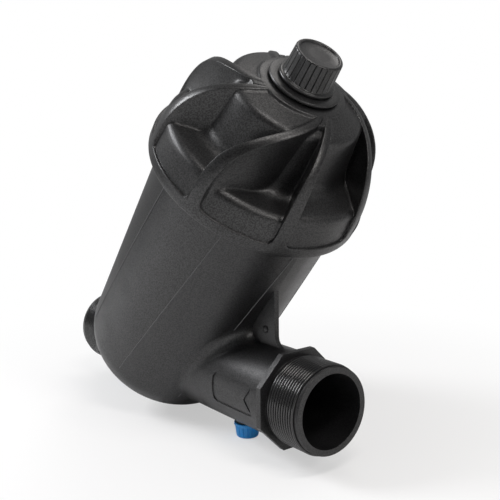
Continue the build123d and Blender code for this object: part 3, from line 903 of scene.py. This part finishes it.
# %% Knurled caps
def knurled_slice(name, rows, count, groove, flatness):
    """One flat of a knurled cap with half a groove on each side. Rows are (radius, height,
    share), where the share is how much of the flat and its grooves shows."""
    half = pi / count
    steps = [-1.0, -0.93, -0.84, -0.78, -0.4, 0.0, 0.4, 0.78, 0.84, 0.93, 1.0]
    sinks = [1.0, 0.8, 0.15, 0.0, 0.0, 0.0, 0.0, 0.0, 0.15, 0.8, 1.0]
    made = []
    for radius, height, share in rows:
        line = []
        for step, sink in zip(steps, sinks):
            angle = step * half
            flat = radius * (cos(half) / cos(angle) - 1) * flatness
            line.append((radius + share * (flat - sink * groove), angle, height))
        made.append(line)
    return polar_slice(name, made)


def knurled_cap(name, sizes, finish, place, body):
    """A whole cap from its slice, set in its place. It stands for the CAD node of its body."""
    slice_mesh = knurled_slice(name + "_slice", **sizes)
    mesh = run_tree(name, turned_copies, {"Copies": sizes["count"], "Finish": finish}, slice_mesh)
    facing_out(mesh)
    mesh.transform(place)
    show(name, mesh, body, [body], sharp=50)


# %% [markdown]
# The drain cap's outline runs from the middle of its sunk top over the thin rim, down the flats
# to the bead and up again inside. It has twenty-six flats and sits on the cover's nozzle.

# %% Drain cap
drain_top = [(0, 19.0, 0), (6.0, 19.0, 0), (12.1, 19.0, 0), (12.6, 19.2, 0), (12.75, 19.75, 0)]
drain_rim = [(13.0, 20.0, 0), (14.4, 20.0, 0), (14.75, 19.9, 0), (15.15, 19.5, 0.1), (15.35, 19.15, 0.5)]
drain_flats = [(15.42, 18.7, 1), (15.6, 15.0, 1), (15.85, 10.0, 1), (16.1, 6.0, 1), (16.26, 3.3, 1)]
drain_flats_end = [(16.4, 2.95, 0.6), (16.8, 2.7, 0), (17.5, 2.6, 0), (18.0, 2.4, 0)]
drain_bead = [(18.3, 1.8, 0), (18.3, 0.8, 0), (18.05, 0.2, 0), (17.6, 0.0, 0), (14.2, 0.0, 0)]
drain_bore = [(13.7, 0.25, 0), (13.6, 0.8, 0), (13.6, 9.0, 0), (13.6, 17.0, 0), (7.0, 17.0, 0), (0, 17.0, 0)]
drain_rows = drain_top + drain_rim + drain_flats + drain_flats_end + drain_bead + drain_bore
drain_sizes = dict(rows=drain_rows, count=26, groove=0.9, flatness=0.9)
drain_cap_h = 267.1
drain_place = lean_over @ Matrix.Translation((0, 0, drain_cap_h * mm))
knurled_cap("drain_cap_knurled", drain_sizes, cap_plastic, drain_place, "drain_cap")

# %% [markdown]
# The two blue caps are alike. Each hangs upside down under the pipe, so the same kind of slice
# is built standing up and turned over when it is set in its place.

# %% Blue tap caps
tap_top = [(0, 10.1, 0), (5.1, 10.1, 0), (5.5, 10.25, 0), (5.75, 10.5, 0), (6.9, 10.5, 0)]
tap_rim = [(7.45, 10.3, 0.1), (7.85, 9.85, 0.5)]
tap_flats = [(8.02, 9.3, 1), (8.35, 7.0, 1), (8.75, 4.0, 1), (8.95, 2.5, 1)]
tap_flats_end = [(9.02, 2.15, 0.5), (9.12, 2.0, 0), (9.35, 1.95, 0)]
tap_bead = [(9.5, 1.7, 0), (9.5, 0.3, 0), (9.3, 0.0, 0), (7.0, 0.0, 0)]
tap_bore = [(6.55, 0.3, 0), (6.5, 0.8, 0), (6.5, 5.0, 0), (6.5, 8.9, 0), (3.0, 8.9, 0), (0, 8.9, 0)]
tap_rows = tap_top + tap_rim + tap_flats + tap_flats_end + tap_bead + tap_bore

tap_places = {"inlet": -85.9, "outlet": -243.5}
tap_cap_h = -32.2
tap_sizes = dict(rows=tap_rows, count=16, groove=0.6, flatness=0.9)
hang_down = Matrix(((1, 0, 0), (0, -1, 0), (0, 0, -1))).to_4x4()
for which, along_pipe in tap_places.items():
    place = Matrix.Translation((along_pipe * mm, 0, tap_cap_h * mm)) @ hang_down
    cap = which + "_tap_cap"
    knurled_cap(cap + "_knurled", tap_sizes, blue_plastic, place, cap)

# %% [markdown]
# ## The body
#
# The pipe, the vessel and the gusset between them are one moulding with soft joins. The CAD
# mesh has those joins already, so a copy of it is the best start. Only the plain cylinders
# that stand for the threads are drawn in, down to the bottom of the threads, to make room for
# real turns. The copy's own shading directions are kept while its loose triangles are merged.


# %% Body
def merged_copy(source, name):
    """A copy of a CAD mesh with its triangles joined and its shading directions kept."""
    mesh = source.copy()
    mesh.name = name
    normals = np.empty(len(mesh.loops) * 3, dtype=np.float32)
    mesh.corner_normals.foreach_get("vector", normals)
    kept = mesh.attributes.new("kept", "FLOAT_VECTOR", "CORNER")
    kept.data.foreach_set("vector", normals)
    work = bmesh.new()
    work.from_mesh(mesh)
    bmesh.ops.remove_doubles(work, verts=work.verts, dist=1e-6)
    work.to_mesh(mesh)
    work.free()
    return mesh


body_mesh = merged_copy(nodes["housing"].data, "housing_body")
print("the body's copy has", len(body_mesh.vertices), "points")

# %% [markdown]
# The points to move are found by where they lie: on the cylinder's surface, between its two
# ends. Both pipe ends, the vessel's neck and the two tap nipples are drawn in this way, and the
# shading directions kept above are then put back.

# %% Room for the threads
on_surface, past_end = 0.03, 0.05


def draw_in(points, origin, axis, crest, root, low, high):
    """Moves points that lie on a cylinder to a smaller one, between two places on its axis."""
    origin, axis = np.array(origin, float), np.array(axis, float)
    away = points - origin
    along_axis = away @ axis
    spoke = away - np.outer(along_axis, axis)
    far = np.linalg.norm(spoke, axis=1)
    chosen = (along_axis > low - past_end) & (along_axis < high + past_end)
    chosen &= abs(far - crest) < on_surface
    points[chosen] -= spoke[chosen] * ((crest - root) / far[chosen])[:, None]
    return int(chosen.sum())


pipe_crest, pipe_root, pipe_thread_len = 29.8, 28.3, 25.5
outlet_end = -285.8
neck_crest, neck_root, neck_low, neck_high = 66.2, 65.2, 191.0, 204.0
tap_crest, tap_root, tap_low, tap_high = 6.1, 5.6, -39.3, -31.9

points = np.empty(len(body_mesh.vertices) * 3, dtype=np.float32)
body_mesh.vertices.foreach_get("co", points)
points = points.reshape(-1, 3).astype(float) / mm
moved = [
    draw_in(points, (0, 0, 0), (1, 0, 0), pipe_crest, pipe_root, -pipe_thread_len, 0),
    draw_in(points, (outlet_end, 0, 0), (-1, 0, 0), pipe_crest, pipe_root, -pipe_thread_len, 0),
    draw_in(points, vessel_foot / mm, vessel_up, neck_crest, neck_root, neck_low, neck_high),
]
for along_pipe in tap_places.values():
    moved.append(draw_in(points, (along_pipe, 0, 0), (0, 0, 1), tap_crest, tap_root, tap_low, tap_high))
print("points drawn in:", moved)
body_mesh.vertices.foreach_set("co", (points * mm).astype(np.float32).ravel())
kept = np.empty(len(body_mesh.loops) * 3, dtype=np.float32)
body_mesh.attributes["kept"].data.foreach_get("vector", kept)
body_mesh.normals_split_custom_set(kept.reshape(-1, 3).tolist())
body_mesh.attributes.remove(body_mesh.attributes["kept"])
body_mesh.materials.clear()
body_mesh.materials.append(body_plastic)
body = bpy.data.objects.new("housing_body", body_mesh)
bpy.context.scene.collection.objects.link(body)
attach(body, "vessel")
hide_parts("housing")
print("housing_body has", len(body_mesh.polygons), "faces")

# %% [markdown]
# A round mark with a domed face stands on each side of the gusset, where a pin of the mould
# pushed the part out. It is small, but its dome catches the light like a bead.

# %% Marks on the gusset
mark_r, mark_rise, mark_sink = 2.45, 0.85, 0.4
mark_x, mark_out, mark_h = -61.4, 2.2, 40.4
mark_slices = 24
mark_line = [(mark_r * sin(t), mark_rise * cos(t)) for t in np.linspace(0, pi / 2, 8)]
mark_line += [(mark_r, -mark_sink), (0, -mark_sink)]
mark_rows = [[(r, step * pi / mark_slices, h) for step in (-1, 0, 1)] for r, h in mark_line]
for which, hand in (("front", -1), ("back", 1)):
    mark_slice = polar_slice("mark_slice", mark_rows)
    mark = run_tree("gusset_mark", turned_copies, {"Copies": mark_slices, "Finish": body_plastic}, mark_slice)
    facing_out(mark)
    stand = Matrix(((1, 0, 0), (0, 0, hand), (0, -hand, 0))).to_4x4()
    mark.transform(Matrix.Translation(Vector((mark_x, mark_out * hand, mark_h)) * mm) @ stand)
    show("gusset_mark_" + which, mark, "vessel", sharp=50)

# %% [markdown]
# ## Screw threads
#
# A thread is one ridge that climbs round a cylinder. As a node group it needs only a spiral
# path, a small trapezium as its profile and a rule that lets the ridge grow out of the
# cylinder and die away again at its ends. The same group cuts the big pipe threads, the
# vessel's neck, the drain nozzle and the two tap nipples.


# %% Geometry Nodes: thread
def thread_tree():
    """A ridge that climbs a cylinder about Z and fades at both ends."""
    inputs = (
        ("Start", "Geometry", None),
        ("Root radius", "Float", 28.3 * mm),
        ("Pitch", "Float", 2.3 * mm),
        ("Turns", "Float", 10.0),
        ("Depth", "Float", 1.5 * mm),
        ("Crest width", "Float", 0.5 * mm),
        ("Foot width", "Float", 2.0 * mm),
        ("Fading turns", "Float", 0.6),
        ("Least height", "Float", 0.02),
        ("Crest roundness", "Float", 0.45),
        ("Sink", "Float", 0.15 * mm),
        ("Steps per turn", "Int", 72),
        ("Finish", "Material", None),
    )
    tree, given = node_group("screw_thread", inputs)
    path_radius = maths(tree, "SUBTRACT", given["Root radius"], given["Sink"])
    climb = maths(tree, "MULTIPLY", given["Pitch"], given["Turns"])
    path = add_node(tree, "GeometryNodeCurveSpiral", Rotations=given["Turns"], Height=climb)
    wire(tree, path.inputs["Resolution"], given["Steps per turn"])
    wire(tree, path.inputs["Start Radius"], path_radius)
    wire(tree, path.inputs["End Radius"], path_radius)
    factor = add_node(tree, "GeometryNodeSplineParameter").outputs["Factor"]
    from_start = maths(tree, "MULTIPLY", factor, given["Turns"])
    from_end = maths(tree, "SUBTRACT", given["Turns"], from_start)
    nearer = maths(tree, "MINIMUM", from_start, from_end)
    share = maths(tree, "MINIMUM", maths(tree, "DIVIDE", nearer, given["Fading turns"]), 1.0)
    share = maths(tree, "MAXIMUM", share, given["Least height"])
    upright = add_node(tree, "GeometryNodeSetCurveNormal", {"mode": "Z_UP"}, Curve=path.outputs[0])
    profile = add_node(tree, "GeometryNodeCurvePrimitiveQuadrilateral", {"mode": "TRAPEZOID"}, Offset=0.0)
    high = maths(tree, "ADD", given["Depth"], given["Sink"])
    wire(tree, profile.inputs["Height"], high)
    wire(tree, profile.inputs["Bottom Width"], given["Foot width"])
    wire(tree, profile.inputs["Top Width"], given["Crest width"])
    shift = add_node(tree, "ShaderNodeCombineXYZ", Y=maths(tree, "DIVIDE", high, 2.0))
    stand = add_node(tree, "GeometryNodeTransform", Geometry=profile.outputs[0], Translation=shift.outputs[0])
    outwards = (0, 0, radians(90))
    point_out = add_node(tree, "GeometryNodeTransform", Geometry=stand.outputs[0], Rotation=outwards)
    softer = add_node(tree, "GeometryNodeFilletCurve", {"mode": "POLY"}, Curve=point_out.outputs[0], Count=3)
    crest_radius = maths(tree, "MULTIPLY", given["Crest width"], given["Crest roundness"])
    wire(tree, softer.inputs["Radius"], crest_radius)
    ridge = add_node(tree, "GeometryNodeCurveToMesh", Curve=upright.outputs[0], Scale=share, Fill_Caps=True)
    wire(tree, ridge.inputs["Profile Curve"], softer.outputs[0])
    real = add_node(tree, "GeometryNodeRealizeInstances", Geometry=ridge.outputs[0])
    end_group(tree, real.outputs[0], given["Finish"])
    return tree


screw_thread = thread_tree()
print("thread inputs:", [item.name for item in screw_thread.interface.items_tree])

# %% [markdown]
# Each thread takes its own sizes: the pipe threads have 11 turns to the inch and end in the
# octagonal collars, the neck's is coarse with under two turns, and those of the small nozzles
# are fine. The ridge is built standing up and then laid along the axis of its cylinder.


# %% Threads
def thread(name, sizes, place, finish, body, slot):
    """A thread of a cylinder, in millimetres, set in its place."""
    root, crest = sizes["root"], sizes["crest"]
    values = {
        "Root radius": root * mm,
        "Depth": (crest - root) * mm,
        "Pitch": sizes["pitch"] * mm,
        "Turns": sizes["turns"],
        "Foot width": sizes["foot"] * mm,
        "Crest width": sizes["top"] * mm,
        "Steps per turn": sizes["steps"],
        "Finish": finish,
    }
    mesh = run_tree(name, screw_thread, values)
    facing_out(mesh)
    points = np.array([v.co for v in mesh.vertices]) / mm
    far = np.hypot(points[:, 0], points[:, 1])
    print(name, "reaches from", far.min().round(2), "to", far.max().round(2), "mm")
    mesh.transform(place)
    show(name, mesh, body, sharp=60)


def facing(origin, x_axis, y_axis, z_axis):
    """A place with its own three directions."""
    turned = Matrix((x_axis, y_axis, z_axis)).transposed().to_4x4()
    return Matrix.Translation(Vector(origin) * mm) @ turned


pipe_thread = dict(root=28.4, crest=29.8, pitch=2.309, turns=11.3, foot=2.25, top=0.95, steps=120)
neck_thread = dict(root=65.2, crest=66.5, pitch=6.0, turns=1.8, foot=3.2, top=1.6, steps=120)
nozzle_thread = dict(root=12.35, crest=13.4, pitch=1.8, turns=5.6, foot=1.6, top=0.4, steps=48)
tap_thread = dict(root=5.6, crest=6.35, pitch=1.3, turns=4.0, foot=1.1, top=0.3, steps=32)
inlet_thread_x, outlet_thread_x = -26.2, -259.6
neck_thread_h, nozzle_thread_h, tap_thread_h = 192.6, 270.2, -33.6
inlet_place = facing((inlet_thread_x, 0, 0), (0, 1, 0), (0, 0, 1), (1, 0, 0))
outlet_place = facing((outlet_thread_x, 0, 0), (0, -1, 0), (0, 0, 1), (-1, 0, 0))
neck_place = lean_over @ Matrix.Translation((0, 0, neck_thread_h * mm))
nozzle_place = lean_over @ Matrix.Translation((0, 0, nozzle_thread_h * mm))
housing_rider = {"body": "vessel", "slot": "housing_plastic"}
thread("inlet_thread_turns", pipe_thread, inlet_place, thread_plastic, **housing_rider)
thread("outlet_thread_turns", pipe_thread, outlet_place, thread_plastic, **housing_rider)
thread("neck_thread_turns", neck_thread, neck_place, body_plastic, **housing_rider)
thread("nozzle_thread_turns", nozzle_thread, nozzle_place, cover_plastic, "cover", "cover_plastic")
for which, along_pipe in tap_places.items():
    place = Matrix.Translation((along_pipe * mm, 0, tap_thread_h * mm)) @ hang_down
    thread(which + "_tap_thread_turns", tap_thread, place, body_plastic, **housing_rider)

# %% [markdown]
# ## Fine seams on the vessel
#
# Eight faint lines run up the vessel, each leaning a little as it climbs, where the faces of
# the mould meet. They are hardly higher than a hair, and their plastic is painted grey, a
# painted highlight that makes them look lit. The node group draws one line on the vessel's
# slightly tapered wall and turns it eight times.


# %% Geometry Nodes: seams on the vessel
def seam_tree():
    """Fine raised lines on a slightly tapered wall about Z."""
    names = ("Low radius", "High radius", "Low", "High", "Lean", "Thickness")
    inputs = [("Start", "Geometry", None)] + [(name, "Float", 0.0) for name in names]
    inputs += [("Lines", "Int", 8), ("Finish", "Material", None)]
    tree, given = node_group("vessel_seams", inputs)
    line = add_node(tree, "GeometryNodeCurvePrimitiveLine", End=(0, 0, 1))
    fine = add_node(tree, "GeometryNodeResampleCurve", Curve=line.outputs[0], Count=40)
    factor = add_node(tree, "GeometryNodeSplineParameter").outputs["Factor"]

    def between(low, high):
        return maths(tree, "MULTIPLY_ADD", maths(tree, "SUBTRACT", high, low), factor, low)

    radius = between(given["Low radius"], given["High radius"])
    angle = maths(tree, "MULTIPLY", given["Lean"], factor)
    where = add_node(tree, "ShaderNodeCombineXYZ", Z=between(given["Low"], given["High"]))
    wire(tree, where.inputs["X"], maths(tree, "MULTIPLY", radius, maths(tree, "COSINE", angle)))
    wire(tree, where.inputs["Y"], maths(tree, "MULTIPLY", radius, maths(tree, "SINE", angle)))
    on_vessel = add_node(tree, "GeometryNodeSetPosition", Geometry=fine.outputs[0], Position=where.outputs[0])
    profile = add_node(tree, "GeometryNodeCurvePrimitiveCircle", Resolution=6, Radius=given["Thickness"])
    bead = add_node(tree, "GeometryNodeCurveToMesh", Curve=on_vessel.outputs[0], Fill_Caps=True)
    wire(tree, bead.inputs["Profile Curve"], profile.outputs[0])
    copies = copies_round(tree, bead.outputs[0], given["Lines"])
    real = add_node(tree, "GeometryNodeRealizeInstances", Geometry=copies)
    end_group(tree, real.outputs[0], given["Finish"])
    return tree


seam_low, seam_high = 20.0, 188.5
seam_lean = 0.122
seam_near_h, seam_near_turn = 175.0, -4.4
seam_values = {
    "Low radius": 63.52 * mm,
    "High radius": 65.59 * mm,
    "Low": seam_low * mm,
    "High": seam_high * mm,
    "Lean": radians(seam_lean * (seam_high - seam_low)),
    "Thickness": 0.32 * mm,
    "Lines": 8,
    "Finish": seam_painted_highlight,
}
seams = run_tree("vessel_seams", seam_tree(), seam_values)
facing_out(seams)
seam_start = radians(seam_near_turn - seam_lean * (seam_near_h - seam_low))
seams.transform(lean_over @ Matrix.Rotation(seam_start, 4, "Z"))
show("vessel_seams", seams, "vessel", sharp=80)

# %% [markdown]
# ## Rubber seals and the filter element
#
# These are hidden until a cap or the cover is taken off. Their CAD shapes are right, so they
# only get their finishes: dull black rubber, a pale moulded plastic for the element's frame,
# and a woven steel cloth whose threads cross at right angles round the element.


# %% Finishes of the hidden parts
mesh_pitch = 0.6 * mm
screen_r = 44.0 * mm


def woven_cloth():
    """Steel cloth: fine wires round and along the slanted axis."""
    material, tree = empty_material("woven_steel")
    place = add_node(tree, "ShaderNodeTexCoord").outputs["Object"]
    straight = add_node(tree, "ShaderNodeMapping", {"vector_type": "TEXTURE"}, Vector=place)
    wire(tree, straight.inputs["Location"], tuple(lean_over.to_translation()))
    wire(tree, straight.inputs["Rotation"], tuple(lean_over.to_euler()))
    parts = add_node(tree, "ShaderNodeSeparateXYZ", Vector=straight.outputs[0]).outputs
    angle = maths(tree, "ARCTAN2", parts[1], parts[0])
    wires_round = round(2 * pi * screen_r / mesh_pitch)
    round_wires = maths(tree, "SINE", maths(tree, "MULTIPLY", angle, wires_round))
    long_wires = maths(tree, "SINE", maths(tree, "MULTIPLY", parts[2], 2 * pi / mesh_pitch))
    weave = maths(tree, "MAXIMUM", round_wires, long_wires)
    tone = add_node(tree, "ShaderNodeMapRange", Value=weave, From_Min=-0.4, To_Min=0.08, To_Max=0.55)
    colour = add_node(tree, "ShaderNodeCombineColor")
    for socket in colour.inputs[:3]:
        wire(tree, socket, tone.outputs[0])
    bump = add_node(tree, "ShaderNodeBump", Height=weave, Distance=0.1 * mm)
    shader = add_node(tree, "ShaderNodeBsdfPrincipled", Metallic=1.0, Roughness=0.35, Normal=bump.outputs[0])
    wire(tree, shader.inputs["Base Color"], colour.outputs[0])
    add_node(tree, "ShaderNodeOutputMaterial", Surface=shader.outputs[0])
    return material


rubber_black = (0.016, 0.016, 0.016), (0.022, 0.022, 0.022)
element_grey = (0.42, 0.42, 0.40), (0.5, 0.5, 0.47)
rubber = moulded_plastic("seal_rubber_finish", *rubber_black, 0.68, 0.8, grain=0.4 * mm)
element_plastic = moulded_plastic("element_frame", *element_grey, 0.42, 0.52)
plain_parts = {
    rubber: ("cover_seal", "drain_gasket", "foot_seal", "head_seal", "inlet_tap_gasket", "outlet_tap_gasket"),
    element_plastic: ("element_foot", "element_core", "guard", "element_head", "grip"),
    woven_cloth(): ("screen",),
}
for finish, names in plain_parts.items():
    for name in names:
        nodes[name].material_slots[0].material = finish
        print(name, "gets", finish.name)
